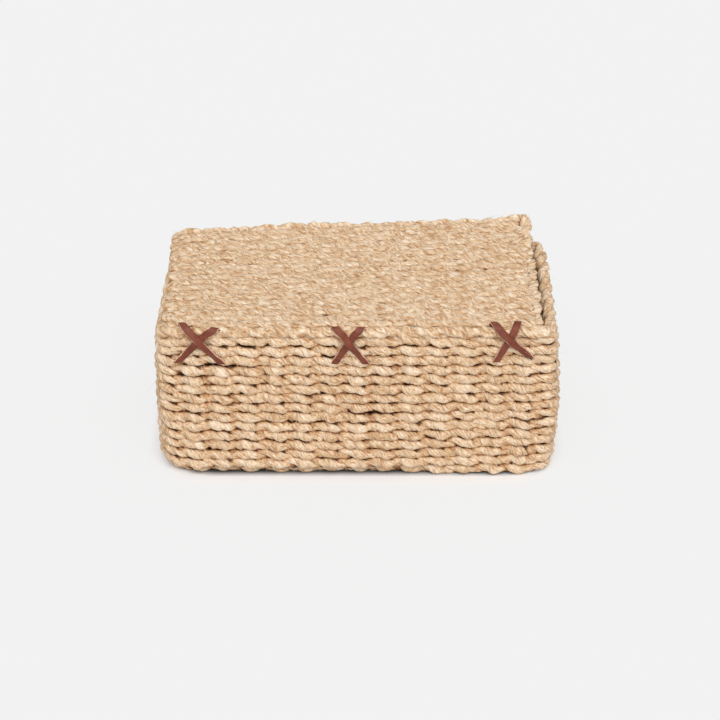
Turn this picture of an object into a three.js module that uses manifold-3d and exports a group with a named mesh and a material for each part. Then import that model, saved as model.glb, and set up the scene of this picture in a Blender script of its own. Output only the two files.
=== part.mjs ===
// A rectangular lidded basket for folded napkins, twined from plant-fibre cord.
//
// Upright stakes run down the walls and through the base. A continuous weft is twined round them, course
// on course, and a border finishes the rim. The flat lid is woven the same way and is tied to the front
// rim by three crossed leather laces, which are its hinge.
//
// Millimetres. +X is the width, -Y the laced front, +Z up. The origin is the middle of the underside.

import * as THREE from 'three';
import Module from 'manifold-3d';
import { mergeVertices } from 'three/addons/utils/BufferGeometryUtils.js';

// Box
const BOX_WIDTH = 254;
const BOX_DEPTH = 150;
const WALL = 9;
const INSIDE_CORNER_RADIUS = 5;
const CORNER_STEPS = 4;

// Weft courses of the wall and the rim border above them
const WALL_HEIGHT = 92.3;
const COURSE_PITCH = 6.6;
const COURSE_GROOVE = 1.2;
const CROWN_SHARE = 0.44;
const RIM_HEIGHT = 6.6;
const RIM_CHAMFER = 1.6;

// Stakes and warps: round cords that the weft holds
const STAKE_PITCH = 17.1;
const STAKE_DIAMETER = 3;
const STAKE_SIDES = 6;
const STAKE_BEND = 4;
const STAKE_BEND_STEPS = 2;
const STAKE_END_COVER = 1.8;

// Base
const BASE_LIFT = 0.5;
const BASE_SKIN = 0.7;
const BASE_ROW_PITCH = 6.4;
const BASE_GROOVE = 0.6;

// Lid
const LID_THICKNESS = 7.5;
const LID_LEFT_INSET = 1;
const LID_RIGHT_INSET = 6.5;
const LID_BORDER = 7;
const LID_BORDER_CHAMFER = 1.8;
const LID_ROW_PITCH = 7;
const LID_GROOVE = 0.9;
const LID_CORNER_LIFT = 10;

// Leather laces
const LACE_COURSES = 2;
const LACE_WIDTH = 5;
const LACE_THICKNESS = 1.2;
const LACE_BUMP_START_SHARE = 0.12;
const LACE_BUMP_FULL_SHARE = 0.32;
const KNOT_WIDTH = 9;
const KNOT_DEPTH = 4.6;
const KNOT_HEIGHT = 7;

// Clearances
const SEAT_GAP = 0.3;
const STAKE_CLEARANCE = 0.3;
const LACE_CLEARANCE = 0.25;
const LACE_SKIN = 0.6;
const LACE_STANDOFF = 0.3;

// Sizes that follow from the ones above
const FRONT = -BOX_DEPTH / 2;
const BACK = BOX_DEPTH / 2;
const OUTSIDE_CORNER_RADIUS = INSIDE_CORNER_RADIUS + WALL;
const COURSES = Math.round(WALL_HEIGHT / COURSE_PITCH);
const COURSE_HEIGHT = WALL_HEIGHT / COURSES;
const RIM_BOTTOM = WALL_HEIGHT + SEAT_GAP;
const RIM_TOP = RIM_BOTTOM + RIM_HEIGHT;
const STAKE_RADIUS = STAKE_DIAMETER / 2;
const STAKE_TOP = RIM_TOP - STAKE_END_COVER;
const CHANNEL_RADIUS = STAKE_RADIUS + STAKE_CLEARANCE;
const LOWER_LEVEL = BASE_LIFT + BASE_GROOVE + BASE_SKIN + CHANNEL_RADIUS;
const UPPER_LEVEL = LOWER_LEVEL + 2 * CHANNEL_RADIUS + BASE_SKIN;
const BASE_TOP = UPPER_LEVEL + CHANNEL_RADIUS + BASE_SKIN + BASE_GROOVE;
const STAKES_PER_HALF_WIDTH = Math.floor((BOX_WIDTH / 2 - OUTSIDE_CORNER_RADIUS) / STAKE_PITCH);
const STAKES_PER_HALF_DEPTH = Math.floor((BOX_DEPTH / 2 - OUTSIDE_CORNER_RADIUS) / STAKE_PITCH);
const LID_BOTTOM = RIM_TOP + SEAT_GAP;
const LID_TOP = LID_BOTTOM + LID_THICKNESS;
const LID_MIDDLE = (LID_BOTTOM + LID_TOP) / 2;
const LID_LEFT = -BOX_WIDTH / 2 + LID_LEFT_INSET;
const LID_RIGHT = BOX_WIDTH / 2 - LID_RIGHT_INSET;
const SEAM = (RIM_TOP + LID_BOTTOM) / 2;
const LACE_HOLE_HEIGHT = (COURSES - LACE_COURSES) * COURSE_HEIGHT;
const LACE_REACH = STAKE_PITCH / 2;
const LACE_ROOM = LACE_REACH - CHANNEL_RADIUS - LACE_SKIN - LACE_CLEARANCE - LACE_WIDTH / 2;
const LACE_OFFSET = LACE_STANDOFF + LACE_THICKNESS / 2;

const X_AXIS = new THREE.Vector3(1, 0, 0);
const Y_AXIS = new THREE.Vector3(0, 1, 0);
const Z_AXIS = new THREE.Vector3(0, 0, 1);

const STRAW = new THREE.MeshStandardMaterial({ color: 0xd3ae84, roughness: 0.9, metalness: 0 });
const PALE_STRAW = new THREE.MeshStandardMaterial({ color: 0xdebd96, roughness: 0.9, metalness: 0 });
const STAKE_STRAW = new THREE.MeshStandardMaterial({ color: 0xc79f73, roughness: 0.95, metalness: 0 });
const LEATHER = new THREE.MeshStandardMaterial({ color: 0x7d4237, roughness: 0.6, metalness: 0 });

const wasm = await Module();
wasm.setup();

// Joining and cutting

function solidOf(geometry) {
  const bare = geometry.clone();
  bare.deleteAttribute('normal');
  bare.deleteAttribute('uv');
  const merged = mergeVertices(bare);
  return new wasm.Manifold(new wasm.Mesh({
    numProp: 3,
    vertProperties: new Float32Array(merged.attributes.position.array),
    triVerts: new Uint32Array(merged.index.array),
  }));
}

function geometryOf(solid) {
  const mesh = solid.getMesh();
  const geometry = new THREE.BufferGeometry();
  geometry.setAttribute('position', new THREE.BufferAttribute(new Float32Array(mesh.vertProperties), 3));
  geometry.setIndex(new THREE.BufferAttribute(new Uint32Array(mesh.triVerts), 1));
  geometry.computeVertexNormals();
  return geometry;
}

function cut(geometry, cutters) {
  let solid = solidOf(geometry);
  for (const cutter of cutters) {
    solid = solid.subtract(solidOf(cutter));
  }
  return geometryOf(solid);
}

// Lofting: rings of equal length, each ordered counter-clockwise about the way the loft travels

function loft(rings, closed) {
  const count = rings[0].length;
  const triangles = [];
  const spans = closed ? rings.length : rings.length - 1;
  for (let i = 0; i < spans; i++) {
    const near = i * count;
    const far = ((i + 1) % rings.length) * count;
    for (let j = 0; j < count; j++) {
      const k = (j + 1) % count;
      triangles.push(near + j, near + k, far + k);
      triangles.push(near + j, far + k, far + j);
    }
  }
  if (!closed) {
    const last = spans * count;
    for (let j = 1; j < count - 1; j++) {
      triangles.push(0, j + 1, j);
      triangles.push(last, last + j, last + j + 1);
    }
  }
  const geometry = new THREE.BufferGeometry();
  geometry.setFromPoints(rings.flat());
  geometry.setIndex(triangles);
  geometry.computeVertexNormals();
  return geometry;
}

// A section swept along points whose bends all lie square to one side direction, with mitred corners
function sweep(points, side, section, closed) {
  const rings = points.map((point, i) => {
    const before = points[(i + points.length - 1) % points.length];
    const after = points[(i + 1) % points.length];
    const arriving = new THREE.Vector3().subVectors(point, before).projectOnPlane(side).normalize();
    const leaving = new THREE.Vector3().subVectors(after, point).projectOnPlane(side).normalize();
    const isStart = !closed && i === 0;
    const isEnd = !closed && i === points.length - 1;
    const travel = new THREE.Vector3();
    if (!isStart) {
      travel.add(arriving);
    }
    if (!isEnd) {
      travel.add(leaving);
    }
    travel.normalize();
    const across = new THREE.Vector3().crossVectors(travel, side);
    const stretch = 1 / travel.dot(isEnd ? arriving : leaving);
    return section.map(([along, up]) => point.clone()
      .addScaledVector(side, along)
      .addScaledVector(across, up * stretch));
  });
  return loft(rings, closed);
}

function roundSection(radius) {
  return Array.from({ length: STAKE_SIDES }, (_, i) => {
    const angle = (2 * Math.PI * i) / STAKE_SIDES;
    return [radius * Math.cos(angle), radius * Math.sin(angle)];
  });
}

function flatSection(width, thickness) {
  return [
    [width / 2, thickness / 2],
    [-width / 2, thickness / 2],
    [-width / 2, -thickness / 2],
    [width / 2, -thickness / 2],
  ];
}

// Walls

// Points round a rounded rectangle, counter-clockwise from above, each with its outward direction
function roundedRectangle(halfX, halfY, radius) {
  const stations = [];
  const corners = [[1, -1], [1, 1], [-1, 1], [-1, -1]];
  for (const [quarter, [signX, signY]] of corners.entries()) {
    for (let step = 0; step <= CORNER_STEPS; step++) {
      const angle = (Math.PI / 2) * (quarter - 1 + step / CORNER_STEPS);
      const outward = new THREE.Vector3(Math.cos(angle), Math.sin(angle), 0);
      const centre = new THREE.Vector3(signX * (halfX - radius), signY * (halfY - radius), 0);
      stations.push({ point: centre.addScaledVector(outward, radius), outward });
    }
  }
  return stations;
}

const WALL_MIDDLE_X = BOX_WIDTH / 2 - WALL / 2;
const WALL_MIDDLE_Y = BOX_DEPTH / 2 - WALL / 2;
const WALL_MIDDLE_RADIUS = INSIDE_CORNER_RADIUS + WALL / 2;

// A profile of [outward, height] points carried round the middle line of the walls
function wallRing(profile) {
  const stations = roundedRectangle(WALL_MIDDLE_X, WALL_MIDDLE_Y, WALL_MIDDLE_RADIUS);
  const rings = stations.map(({ point, outward }) => profile.map(([out, height]) => point.clone()
    .addScaledVector(outward, out)
    .addScaledVector(Z_AXIS, height)));
  return loft(rings, true);
}

// One side of a stack of rounded rows: [distance, depth] with a groove between each row and the next
function rowCrowns(rows, pitch, groove) {
  const points = [[0, groove]];
  const halfCrown = (CROWN_SHARE * pitch) / 2;
  for (let row = 0; row < rows; row++) {
    const middle = (row + 0.5) * pitch;
    points.push([middle - halfCrown, 0], [middle + halfCrown, 0], [(row + 1) * pitch, groove]);
  }
  return points;
}

function wallWeftProfile() {
  const side = rowCrowns(COURSES, COURSE_HEIGHT, COURSE_GROOVE);
  const inside = side.map(([height, depth]) => [depth - WALL / 2, height]);
  const outside = side.map(([height, depth]) => [WALL / 2 - depth, height]).reverse();
  return [...inside, ...outside];
}

function rimProfile() {
  const crown = WALL / 2;
  const shoulder = crown - RIM_CHAMFER;
  return [
    [-shoulder, RIM_BOTTOM],
    [-crown, RIM_BOTTOM + RIM_CHAMFER],
    [-crown, RIM_TOP - RIM_CHAMFER],
    [-shoulder, RIM_TOP],
    [shoulder, RIM_TOP],
    [crown, RIM_TOP - RIM_CHAMFER],
    [crown, RIM_BOTTOM + RIM_CHAMFER],
    [shoulder, RIM_BOTTOM],
  ];
}

// Stakes

// Down one wall to a level in the base, round the bend and on towards the middle of the box
function stakeLeg(foot, inward, level) {
  const leg = [foot.clone().setZ(STAKE_TOP)];
  for (let step = 0; step <= STAKE_BEND_STEPS; step++) {
    const angle = (Math.PI / 2) * (step / STAKE_BEND_STEPS);
    leg.push(foot.clone()
      .setZ(level + STAKE_BEND * (1 - Math.sin(angle)))
      .addScaledVector(inward, STAKE_BEND * (1 - Math.cos(angle))));
  }
  return leg;
}

function throughStake(foot, inward, level) {
  const opposite = foot.clone().reflect(inward);
  const first = stakeLeg(foot, inward, level);
  const second = stakeLeg(opposite, inward.clone().negate(), level);
  return [...first, ...second.reverse()];
}

function cornerStake(signX, signY) {
  const outward = new THREE.Vector3(signX, signY, 0).normalize();
  const foot = new THREE.Vector3(
    signX * (WALL_MIDDLE_X - WALL_MIDDLE_RADIUS),
    signY * (WALL_MIDDLE_Y - WALL_MIDDLE_RADIUS),
    0,
  ).addScaledVector(outward, WALL_MIDDLE_RADIUS);
  const inward = outward.clone().negate();
  const lastLongStake = STAKES_PER_HALF_DEPTH * STAKE_PITCH;
  const room = Math.abs(foot.y) - lastLongStake - CHANNEL_RADIUS - BASE_SKIN;
  const tailLength = room / Math.abs(outward.y) - STAKE_DIAMETER;
  const tail = foot.clone().setZ(LOWER_LEVEL).addScaledVector(inward, tailLength);
  return { points: [...stakeLeg(foot, inward, LOWER_LEVEL), tail], side: outward.cross(Z_AXIS) };
}

const numbered = (name, i) => `${name}_${String(i + 1).padStart(2, '0')}`;

function stakeRoutes() {
  const routes = [];
  for (let i = -STAKES_PER_HALF_WIDTH; i <= STAKES_PER_HALF_WIDTH; i++) {
    const foot = new THREE.Vector3(i * STAKE_PITCH, -WALL_MIDDLE_Y, 0);
    const name = numbered('cross_stake', i + STAKES_PER_HALF_WIDTH);
    routes.push({ name, side: X_AXIS, points: throughStake(foot, Y_AXIS, UPPER_LEVEL) });
  }
  for (let i = -STAKES_PER_HALF_DEPTH; i <= STAKES_PER_HALF_DEPTH; i++) {
    const foot = new THREE.Vector3(-WALL_MIDDLE_X, i * STAKE_PITCH, 0);
    const name = numbered('long_stake', i + STAKES_PER_HALF_DEPTH);
    routes.push({ name, side: Y_AXIS, points: throughStake(foot, X_AXIS, LOWER_LEVEL) });
  }
  [[-1, -1], [1, -1], [1, 1], [-1, 1]].forEach(([signX, signY], i) => {
    routes.push({ name: numbered('corner_stake', i), ...cornerStake(signX, signY) });
  });
  return routes;
}

// The same route with its two ends carried on by a clearance, for cutting the channel that holds it
function longerRoute(points, extra) {
  const longer = points.map((point) => point.clone());
  const carryOn = (end, next) => end.addScaledVector(end.clone().sub(next).normalize(), extra);
  carryOn(longer[0], points[1]);
  carryOn(longer[longer.length - 1], points[points.length - 2]);
  return longer;
}

// Woven panels: rows along X between two values of Y, grooved above and below

function rowPanel(left, right, near, far, bottom, top, rowPitch, groove) {
  const rows = Math.round((far - near) / rowPitch);
  const crowns = rowCrowns(rows, (far - near) / rows, groove);
  const under = crowns.map(([y, depth]) => new THREE.Vector2(near + y, bottom + depth));
  const over = crowns.map(([y, depth]) => new THREE.Vector2(near + y, top - depth)).reverse();
  const shape = new THREE.Shape([...under, ...over]);
  const geometry = new THREE.ExtrudeGeometry(shape, { depth: right - left, bevelEnabled: false });
  geometry.applyMatrix4(new THREE.Matrix4().makeBasis(Y_AXIS, Z_AXIS, X_AXIS));
  return geometry.translate(left, 0, 0);
}

function basePanel() {
  const halfX = BOX_WIDTH / 2 - WALL - SEAT_GAP;
  const halfY = BOX_DEPTH / 2 - WALL - SEAT_GAP;
  const outline = roundedRectangle(halfX, halfY, INSIDE_CORNER_RADIUS - SEAT_GAP);
  const shape = new THREE.Shape(outline.map(({ point }) => new THREE.Vector2(point.x, point.y)));
  const blank = new THREE.ExtrudeGeometry(shape, { depth: BASE_TOP, bevelEnabled: false });
  const rows = rowPanel(-halfX, halfX, -halfY, halfY, BASE_LIFT, BASE_TOP, BASE_ROW_PITCH, BASE_GROOVE);
  return geometryOf(solidOf(rows).intersect(solidOf(blank)));
}

// Lid

function lidBorder(y) {
  const half = LID_BORDER / 2;
  const halfHeight = LID_THICKNESS / 2;
  const chamfer = LID_BORDER_CHAMFER;
  const quarter = [[half, halfHeight - chamfer], [half - chamfer, halfHeight]];
  const section = [
    ...quarter,
    ...quarter.map(([a, b]) => [-a, b]).reverse(),
    ...quarter.map(([a, b]) => [-a, -b]),
    ...quarter.map(([a, b]) => [a, -b]).reverse(),
  ];
  const ends = [new THREE.Vector3(LID_LEFT, y, LID_MIDDLE), new THREE.Vector3(LID_RIGHT, y, LID_MIDDLE)];
  return sweep(ends, Y_AXIS, section, false);
}

function lidWarpRoutes() {
  const routes = [];
  for (let i = -STAKES_PER_HALF_WIDTH; i <= STAKES_PER_HALF_WIDTH; i++) {
    const x = i * STAKE_PITCH;
    routes.push({
      name: numbered('lid_warp', i + STAKES_PER_HALF_WIDTH),
      side: X_AXIS,
      points: [
        new THREE.Vector3(x, FRONT + STAKE_END_COVER, LID_MIDDLE),
        new THREE.Vector3(x, BACK - STAKE_END_COVER, LID_MIDDLE),
      ],
    });
  }
  return routes;
}

// The lid has a slight twist: it is flat along the front and left edges, and its back right corner stands up
function raiseCorner(geometry) {
  const position = geometry.attributes.position;
  for (let i = 0; i < position.count; i++) {
    if (position.getZ(i) > SEAM) {
      const across = (position.getX(i) - LID_LEFT) / (LID_RIGHT - LID_LEFT);
      const back = (position.getY(i) - FRONT) / BOX_DEPTH;
      position.setZ(i, position.getZ(i) + LID_CORNER_LIFT * across * back);
    }
  }
  geometry.computeVertexNormals();
  return geometry;
}

// Laces

// One strand of a cross: out of the wall, up and over the lid's front edge, down through the lid and
// down the inside of the wall. It starts below one end of the cross and comes in above the other.
function laceStrand(centre, startX, isOver) {
  const outside = FRONT - LACE_OFFSET;
  const inside = FRONT + WALL + LACE_OFFSET;
  const dive = FRONT + LID_BORDER + LACE_OFFSET;
  const over = LID_TOP + LACE_OFFSET;
  const edgeTop = LID_TOP - LID_BORDER_CHAMFER;
  const rise = over - LACE_HOLE_HEIGHT;
  const bump = isOver ? LACE_THICKNESS + LACE_STANDOFF : 0;
  const at = (share, y, z) => new THREE.Vector3(centre + startX * (1 - 2 * share), y, z);
  const onFace = (share, lift) => at(share, outside - lift, LACE_HOLE_HEIGHT + share * rise);
  return [
    onFace(0, 0),
    onFace(LACE_BUMP_START_SHARE, 0),
    onFace(LACE_BUMP_FULL_SHARE, bump),
    onFace(1 - LACE_BUMP_FULL_SHARE, bump),
    at((edgeTop - LACE_HOLE_HEIGHT) / rise, outside, edgeTop),
    at(1, FRONT + LID_BORDER_CHAMFER, over),
    at(1, dive, over),
    at(1, inside, RIM_TOP - RIM_CHAMFER),
    at(1, inside, LACE_HOLE_HEIGHT),
  ];
}

function laceRoute(centre) {
  return [...laceStrand(centre, -LACE_REACH, false), ...laceStrand(centre, LACE_REACH, true)];
}

function laceStrip(centre, growth) {
  const section = flatSection(LACE_WIDTH + 2 * growth, LACE_THICKNESS + 2 * growth);
  return sweep(laceRoute(centre), X_AXIS, section, true);
}

// The tie that closes the lace, against the inside of the wall
function laceKnot(centre) {
  const knot = new THREE.SphereGeometry(0.5, 10, 6);
  knot.scale(KNOT_WIDTH, KNOT_DEPTH, KNOT_HEIGHT);
  const y = FRONT + WALL + LACE_STANDOFF + KNOT_DEPTH / 2;
  return knot.translate(centre - LACE_REACH, y, (LACE_HOLE_HEIGHT + RIM_TOP) / 2);
}

function lace(centre) {
  return geometryOf(solidOf(laceStrip(centre, 0)).add(solidOf(laceKnot(centre))));
}

// Assembly

const group = new THREE.Group();

function place(name, geometry, material) {
  const mesh = new THREE.Mesh(geometry, material);
  mesh.name = name;
  group.add(mesh);
}

const stakes = stakeRoutes();
const warps = lidWarpRoutes();
// Each lace crosses in front of a stake, moved sideways by a share of the room between the stakes
const laces = [
  ['lace_left', -STAKES_PER_HALF_WIDTH * STAKE_PITCH + 0.65 * LACE_ROOM],
  ['lace_middle', -LACE_ROOM],
  ['lace_right', STAKES_PER_HALF_WIDTH * STAKE_PITCH - LACE_ROOM],
];

const channel = ({ points, side }) => sweep(
  longerRoute(points, STAKE_CLEARANCE), side, roundSection(CHANNEL_RADIUS), false);
const cord = ({ points, side }) => sweep(points, side, roundSection(STAKE_RADIUS), false);
const stakeChannels = stakes.map(channel);
const warpChannels = warps.map(channel);
const laceSlots = laces.map(([, centre]) => laceStrip(centre, LACE_CLEARANCE));

place('wall_weft', cut(wallRing(wallWeftProfile()), [...stakeChannels, ...laceSlots]), STRAW);
place('rim_border', cut(wallRing(rimProfile()), [...stakeChannels, ...laceSlots]), STRAW);
place('base_weft', cut(basePanel(), stakeChannels), STAKE_STRAW);
for (const stake of stakes) {
  place(stake.name, cord(stake), STAKE_STRAW);
}

const lidNear = FRONT + LID_BORDER + SEAT_GAP;
const lidFar = BACK - LID_BORDER - SEAT_GAP;
const lidRows = rowPanel(
  LID_LEFT, LID_RIGHT, lidNear, lidFar, LID_BOTTOM, LID_TOP, LID_ROW_PITCH, LID_GROOVE);
const frontBorder = cut(lidBorder(FRONT + LID_BORDER / 2), warpChannels);
const backBorder = cut(lidBorder(BACK - LID_BORDER / 2), warpChannels);
place('lid_weft', raiseCorner(cut(lidRows, [...warpChannels, ...laceSlots])), PALE_STRAW);
place('lid_front_border', raiseCorner(frontBorder), PALE_STRAW);
place('lid_back_border', raiseCorner(backBorder), PALE_STRAW);
for (const warp of warps) {
  place(warp.name, raiseCorner(cord(warp)), STAKE_STRAW);
}

for (const [name, centre] of laces) {
  place(name, raiseCorner(lace(centre)), LEATHER);
}

export default group;
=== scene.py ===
"""The looks of a lidded woven napkin box: twined plant-fibre cord and crossed leather laces, in metres."""
import math
from collections import namedtuple

import bpy
import numpy as np
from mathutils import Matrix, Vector


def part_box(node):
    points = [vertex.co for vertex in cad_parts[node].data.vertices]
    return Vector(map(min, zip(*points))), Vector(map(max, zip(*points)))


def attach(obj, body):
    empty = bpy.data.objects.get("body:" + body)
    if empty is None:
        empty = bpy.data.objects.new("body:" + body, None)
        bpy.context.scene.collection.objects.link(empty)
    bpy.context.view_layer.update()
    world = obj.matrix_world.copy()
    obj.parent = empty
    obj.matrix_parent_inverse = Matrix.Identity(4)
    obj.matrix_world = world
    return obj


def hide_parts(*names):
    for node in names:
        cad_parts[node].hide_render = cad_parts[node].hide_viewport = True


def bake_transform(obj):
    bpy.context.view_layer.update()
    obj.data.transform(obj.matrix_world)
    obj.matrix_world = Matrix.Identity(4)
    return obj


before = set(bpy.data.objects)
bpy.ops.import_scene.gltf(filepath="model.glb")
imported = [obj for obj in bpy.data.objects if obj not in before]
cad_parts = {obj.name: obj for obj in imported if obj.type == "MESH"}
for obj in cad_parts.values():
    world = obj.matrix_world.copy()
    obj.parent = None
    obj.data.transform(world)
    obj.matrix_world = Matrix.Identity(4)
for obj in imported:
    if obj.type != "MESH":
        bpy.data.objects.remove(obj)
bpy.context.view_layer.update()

MM = 0.001
SEED = 11
rng = np.random.default_rng(SEED)

# The frame's sizes
_, wall_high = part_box("wall_weft")
rim_low, rim_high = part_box("rim_border")
front_low, front_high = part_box("lid_front_border")
HALF_WIDTH = wall_high.x
HALF_DEPTH = wall_high.y
WALL = 9 * MM
INSIDE_CORNER_RADIUS = 5 * MM
COURSES = 14
COURSE_HEIGHT = wall_high.z / COURSES
LID_LEFT, LID_RIGHT = front_low.x, front_high.x
LID_BOTTOM = front_low.z
LID_THICKNESS = 7.5 * MM
LID_TOP = LID_BOTTOM + LID_THICKNESS
LID_LIFT = 10 * MM
LID_BORDER = front_high.y - front_low.y
STAKE_DIAMETER = 3 * MM


def middle_of(node):
    low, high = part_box(node)
    return (low + high) / 2


def nodes_named(prefix):
    return sorted(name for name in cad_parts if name.startswith(prefix))


CROSS_X = [middle_of(name).x for name in nodes_named("cross_stake")]
LONG_Y = [middle_of(name).y for name in nodes_named("long_stake")]
STAKE_PITCH = CROSS_X[1] - CROSS_X[0]

# Small vector helpers


def unit(vectors):
    return vectors / np.linalg.norm(vectors, axis=-1, keepdims=True)


def smooth(values):
    values = np.clip(values, 0, 1)
    return values * values * (3 - 2 * values)


def lengths_along(points):
    steps = np.linalg.norm(np.diff(points, axis=0), axis=1)
    return np.concatenate([[0], np.cumsum(steps)])


def tangents(points, closed):
    if closed:
        points = np.concatenate([points[-2:-1], points, points[1:2]])
        return unit(points[2:] - points[:-2])
    return unit(np.gradient(points, axis=0))


def wander(along, amount, waves):
    """A smooth random curve along a length: sine waves that each fit it a whole number of times."""
    total = np.zeros_like(along)
    for wave in waves:
        count = max(1, round(along[-1] / (wave * rng.uniform(0.8, 1.25))))
        total += np.sin(2 * np.pi * count * along / along[-1] + rng.uniform(0, 2 * np.pi))
    return amount * total / math.sqrt(len(waves))


def rounded_path(points, step, rounds=3):
    """A smooth line through the given corner points, whose corners are cut off again and again."""
    points = np.array(points, dtype=float)
    for _ in range(rounds):
        early = 0.75 * points[:-1] + 0.25 * points[1:]
        late = 0.25 * points[:-1] + 0.75 * points[1:]
        middle = np.stack([early, late], axis=1).reshape(-1, 3)
        points = np.concatenate([points[:1], middle[1:-1], points[-1:]])
    along = lengths_along(points)
    places = np.linspace(0, along[-1], max(3, round(along[-1] / step)))
    return np.stack([np.interp(places, along, points[:, k]) for k in range(3)], axis=1)


UP = np.array([0.0, 0.0, 1.0])
# Lines that the cords follow: places, outward and upward directions, and a count of stakes passed
Line = namedtuple("Line", "centre out up phase closed", defaults=(False,))


def wall_line(height, step):
    """Once round the middle of the walls, counter-clockwise from above, starting in the back left corner."""
    radius = INSIDE_CORNER_RADIUS + WALL / 2
    run_x = HALF_WIDTH - WALL / 2 - radius
    run_y = HALF_DEPTH - WALL / 2 - radius
    arc = radius * math.pi / 2
    # The four sides in order: left going forward, front, right going back, back
    sides = [(run_y, LONG_Y), (run_x, CROSS_X), (run_y, LONG_Y), (run_x, CROSS_X)]
    corners = [(-run_x, run_y), (-run_x, -run_y), (run_x, -run_y), (run_x, run_y), (-run_x, run_y)]
    knots, places, bearings, stakes = [0.0], [corners[0]], [0.75 * math.pi], [0.0]
    at = arc / 2
    for k, (half_run, stake_places) in enumerate(sides):
        stakes += [at + half_run + place for place in stake_places]
        stakes.append(at + 2 * half_run + arc / 2)
        knots += [at, at + 2 * half_run]
        places += corners[k : k + 2]
        bearings += [math.pi * (1 + k / 2)] * 2
        at += 2 * half_run + arc
    total = at - arc / 2
    knots.append(total)
    places.append(corners[0])
    bearings.append(2.75 * math.pi)
    along = np.linspace(0, total, round(total / step))
    phase = np.interp(along, stakes, range(len(stakes)))
    bearing = np.interp(along, knots, bearings)
    out = np.column_stack([np.cos(bearing), np.sin(bearing), np.zeros(len(along))])
    flat = [np.interp(along, knots, [place[axis] for place in places]) for axis in (0, 1)]
    centre = np.column_stack([*flat, np.full(len(along), height)]) + radius * out
    return Line(centre, out, UP, phase, closed=True)


# How far the turn between two rows stands out, as a share of a half circle's reach
TURN_REACH = 0.35


def row_line(lefts, rights, near, pitch, height, step):
    """Rows to and fro along X, joined by blunt turns. Two rows that meet in a turn end at one place."""
    radius = pitch / 2
    reach = TURN_REACH * radius
    rows = 2 * len(rights) - 1
    points = []
    row_of = []
    for row in range(rows):
        y = near + (row + 0.5) * pitch
        forward = row % 2 == 0
        left, right = lefts[(row + 1) // 2], rights[row // 2]
        run = np.arange(left, right, step)
        run = run if forward else run[::-1]
        points += [(x, y) for x in run]
        row_of += [row] * len(run)
        if row < rows - 1:
            turn = np.linspace(-np.pi / 2, np.pi / 2, 12)[1:-1]
            end, way = (right, 1) if forward else (left, -1)
            points += [(end + way * reach * math.cos(a), y + radius + radius * math.sin(a)) for a in turn]
            row_of += [-1] * len(turn)
    flat = np.array(points)
    row_of = np.array(row_of)
    along = lengths_along(flat)
    marks = []
    for row in range(rows):
        on_row = row_of == row
        order = np.argsort(flat[on_row, 0])
        places = CROSS_X if row % 2 == 0 else CROSS_X[::-1]
        marks += list(np.interp(places, flat[on_row, 0][order], along[on_row][order]))
    ends = [marks[0] - STAKE_PITCH, marks[-1] + STAKE_PITCH]
    phase = np.interp(along, [ends[0]] + marks + [ends[1]], range(len(marks) + 2))
    centre = np.column_stack([flat, np.full(len(flat), height)])
    return Line(centre, UP, np.cross(tangents(centre, closed=False), UP), phase)


def edge_line(points, step):
    """A border cord along the given corner points, whose outward direction is to the right of its travel."""
    centre = rounded_path(points, step)
    out = unit(np.cross(tangents(centre, closed=False), UP))
    return Line(centre, out, UP, lengths_along(centre) / STAKE_PITCH)


# A two-ply cord: the radius of a ply, how far the plies sit from the middle, and the length of a twist.
# A pair of cords makes half a turn from stake to stake, with these swings outwards and upwards.
# Each cord has some fibre ridges round it. A row with an open top has no other row over it and less painted
# shade.
# By its bulge a strand is thicker on a stake and inside, and thinner where the pair crosses outside.
CORD_FIELDS = "ply apart twist swing_out swing_up sides ridges open_top bulge"
Cord = namedtuple("Cord", CORD_FIELDS, defaults=(0.0, 0.0, 20, 7, False, 0.0))

# How much a cord varies, and over which lengths
CORD_WAVES = (9 * MM, 21 * MM, 47 * MM)
ROW_WAVES = (60 * MM, 110 * MM, 190 * MM)
TONE_WAVES = (14 * MM, 33 * MM)
THICKNESS_CHANGE = 0.1
SWING_CHANGE = 0.48 * MM
TURN_CHANGE = 0.12
TWIST_CHANGE = 0.55
ROW_CHANGE = 0.4 * MM
RIDGE_TONE = 0.9
CORD_TONE = 0.35
RIDGE_HEIGHT = 0.05
# How far below the crown of the weave a cord has its darkest painted shade
FULL_SHADE_DEPTH = 4.0 * MM
# How far inside, as a share of the swing, a strand has its full thickness again, and its bulge there
FULL_INSIDE = 0.3
INSIDE_BULGE = 1.5
# How far in or out, as a share of the swing, a strand's other side is hidden, and how much painted shade
# that side gets
HIDDEN_START = 0.6
HIDDEN_SIDE_SHADE = 0.6

WALL_CORD = Cord(2.6 * MM, 0.5 * MM, 21 * MM, 1.8 * MM, 1.15 * MM, bulge=0.16)
RIM_CORD = Cord(2.4 * MM, 0.7 * MM, 21 * MM, 1.5 * MM, 1.15 * MM, open_top=True)
LID_CORD = Cord(3.1 * MM, 0.6 * MM, 15 * MM, 0.8 * MM, 1.5 * MM, sides=26, ridges=9)
BORDER_CORD = Cord(2.15 * MM, 0.7 * MM, 20 * MM, 1.3 * MM, 1.15 * MM, open_top=True)
UNDER_CORD = Cord(2.8 * MM, 0.6 * MM, 17 * MM, 0.8 * MM, 1.7 * MM, sides=14, ridges=5)
EDGE_CORD = Cord(2.5 * MM, 0.6 * MM, 15 * MM, sides=20)
BASE_CORD = Cord(1.9 * MM, 0.8 * MM, 19 * MM, 1.8 * MM, 1.1 * MM, sides=12, ridges=4)
STAKE_CORD = Cord(0.95 * MM, 0.55 * MM, 11 * MM, sides=10, ridges=3)

# Rings of points along a cord, with the fibre coordinates, the tones and the painted shade that its material
# reads
Tube = namedtuple("Tube", "rings poles fibre tone depth along girth travel centre")


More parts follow.
